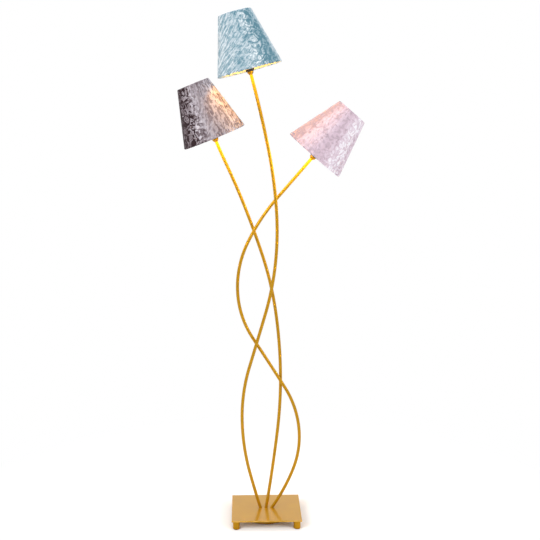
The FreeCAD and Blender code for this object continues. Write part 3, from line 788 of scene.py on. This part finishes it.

# How the pile lies round each shade, with wide silver and dark bands of painted sheen, set
# darker on the sides that the bulbs light so that their light reads orange there: (degrees to
# the right of the front, lean, ruffle, streak). Where streak is 1 the pile is drawn out in
# strokes, and where it is 0 it is blotched.
TOP_LAY_AND_SHEEN = [(0, 0.38, 0.34, 0.5), (10, 0.45, 0.40, 0.5), (20, 0.52, 0.46, 0.4), (30, 0.32, 0.46, 0.3),
           (42, 0.04, 0.34, 0.2), (55, 0.06, 0.30, 0.3), (66, 0.45, 0.25, 0.6), (80, 0.60, 0.30, 0.6),
           (110, 0.45, 0.40, 0.4), (150, 0.60, 0.30, 0.8), (200, 0.40, 0.42, 0.4),
           (240, 0.55, 0.35, 0.6), (290, 0.55, 0.34, 1.0), (323, 0.51, 0.30, 1.0), (343, 0.40, 0.32, 0.7)]
LEFT_LAY_AND_SHEEN = [(0, 0.56, 0.12, 0.7), (14, 0.46, 0.14, 1.0), (26, 0.54, 0.16, 1.0), (50, 0.64, 0.22, 1.0),
            (80, 0.50, 0.34, 0.7), (100, 0.48, 0.32, 0.5), (150, 0.34, 0.34, 0.4), (200, 0.56, 0.28, 0.6),
            (240, 0.30, 0.40, 0.3), (285, -0.14, 0.50, 0.1), (305, -0.10, 0.50, 0.0),
            (325, 0.10, 0.48, 0.1), (342, 0.46, 0.34, 0.4)]
RIGHT_LAY_AND_SHEEN = [(0, 0.18, 0.10, 0.3), (12, 0.30, 0.20, 0.4), (26, 0.70, 0.32, 0.4), (42, 0.76, 0.38, 0.3),
             (58, 0.50, 0.32, 0.4), (80, 0.50, 0.35, 0.4), (120, 0.65, 0.35, 0.4), (170, 0.35, 0.30, 0.4),
             (220, 0.60, 0.35, 0.4), (260, 0.20, 0.30, 0.4), (292, -0.12, 0.18, 0.6),
             (323, 0.32, 0.20, 0.6), (342, 0.30, 0.22, 0.5)]

SHADES = {
    "top": ("velvet_silver_blue", SILVER_BLUE, TOP_LAY_AND_SHEEN, -14.0),
    "left": ("velvet_mauve", GREY_MAUVE, LEFT_LAY_AND_SHEEN, -2.0),
    "right": ("velvet_lilac", PALE_LILAC, RIGHT_LAY_AND_SHEEN, 2.0),
}


def cut_size():
    """The cloth's cut before it is rolled up: the width and the height of the sector, and
    its area with the seam's lap."""
    hem = math.pi * HEM_RADIUS + HEM_FLAP - HEM_RADIUS
    outer = BOTTOM_RADIUS * SLOPE / (BOTTOM_RADIUS - TOP_RADIUS) + hem
    inner = outer - SLOPE - 2 * hem
    spread = 2 * math.pi * (BOTTOM_RADIUS - TOP_RADIUS) / SLOPE
    width = 2 * outer * math.sin(spread / 2)
    height = outer - inner * math.cos(spread / 2)
    area = spread * (outer ** 2 - inner ** 2) / 2 + SEAM_LAP * (outer - inner)
    return width, height, area


for number, (head, (slot, tones, lay_and_sheen, twist)) in enumerate(SHADES.items()):
    sheet = velvet_sheet(head + "_velvet", lay_and_sheen, 3.7 + 11.3 * number)
    sheet.data.materials.append(crushed_velvet("crushed_" + slot, tones, twist))
    sheet.data.transform(head_matrix(head))
    width, height, area = cut_size()
    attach(sheet, head + "_shade")
    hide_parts(head + "_shade_velvet")


# --------------------------------------------------------------------------------- bulbs
# Each bulb is a lit globe of opal glass on a rolled metal cap. Its light is warm.

WARM_LIGHT = (1.0, 0.46, 0.04)
GLOBE_HEIGHT = 0.0915
GLOBE_RADIUS = 0.0225
BULB_LIGHT = 0.114
NEAR_SOFTENING = 0.02
UNIT_GLOW = 4 * math.pi ** 2


def lit_opal(name):
    finish = new_finish(name)
    place = finish.place()
    cloud = finish.noise(place, 60.0, 2.0)
    return finish.surface(
        Base_Color=finish.mix(cloud, (0.86, 0.80, 0.66), (0.92, 0.88, 0.78)),
        Roughness=0.25 + 0.05 * cloud,
        Emission_Color=finish.mix(cloud, (1.0, 0.80, 0.50), (1.0, 0.86, 0.60)),
        Emission_Strength=0.8,
    )


def cap_metal(name):
    finish = new_finish(name)
    place = finish.place()
    cloud = finish.noise(place, 200.0, 3.0)
    return finish.surface(
        Base_Color=finish.mix(cloud, (0.60, 0.60, 0.58), (0.76, 0.76, 0.74)),
        Metallic=1.0,
        Roughness=0.28 + 0.12 * cloud,
        Normal=finish.relief(finish.noise(place, 1200.0), 0.00002, 0.4),
    )


dress([head + "_bulb_glass" for head in HEADS], lit_opal("opal_lit"))
dress([head + "_bulb_cap" for head in HEADS], cap_metal("cap_metal"))


def bulb_light(head, height, radius):
    """The lit bulb's light. It falls off with distance, but less so close to the bulb, so
    that the white inside of its own shade isn't burnt out."""
    lamp = bpy.data.objects.new(head + "_glow", bpy.data.lights.new(head + "_glow", "POINT"))
    bpy.context.scene.collection.objects.link(lamp)
    lamp.location = head_matrix(head) @ Vector((0, 0, height))
    lamp.data.shadow_soft_size = radius
    lamp.data.use_soft_falloff = False
    lamp.data.energy = UNIT_GLOW
    glow = Finish(lamp.data)
    falloff = glow.node("ShaderNodeLightFalloff", {}, {
        "Strength": BULB_LIGHT, "Smooth": NEAR_SOFTENING}, "Quadratic")
    shining = glow.node("ShaderNodeEmission", {}, {"Color": (*WARM_LIGHT, 1.0), "Strength": falloff})
    glow.node("ShaderNodeOutputLight", {}, {"Surface": shining})
    lamp.visible_camera = False
    lamp.visible_glossy = False


MOUTH_LIGHT = (1.0, 0.90, 0.25)
MOUTH_WATTS = 1.2
MOUTH_HEIGHT = 0.012


def mouth_light(head):
    """The light that the white inside of a shade throws down on its arm. It falls on the
    arms alone and casts no shadow."""
    lamp = bpy.data.objects.new(head + "_mouth", bpy.data.lights.new(head + "_mouth", "AREA"))
    bpy.context.scene.collection.objects.link(lamp)
    lamp.matrix_world = head_matrix(head) @ Matrix.Translation((0, 0, MOUTH_HEIGHT))
    lamp.data.shape = "DISK"
    lamp.data.size = 1.7 * BOTTOM_RADIUS
    lamp.data.energy = MOUTH_WATTS
    lamp.data.color = MOUTH_LIGHT
    lamp.visible_camera = False
    lamp.visible_glossy = False
    lamp.data.use_shadow = False
    lamp.light_linking.receiver_collection = tubes


# How high up the head each light's middle is, and its radius: just outside the globe, but
# on the left it takes in the white wall round the globe, which lights the shade above.
GLOWS = {
    "top": (GLOBE_HEIGHT, GLOBE_RADIUS + 0.001),
    "left": (0.105, 0.040),
    "right": (GLOBE_HEIGHT, GLOBE_RADIUS + 0.001),
}
for head, (height, radius) in GLOWS.items():
    bulb_light(head, height, radius)
for head in HEADS:
    mouth_light(head)
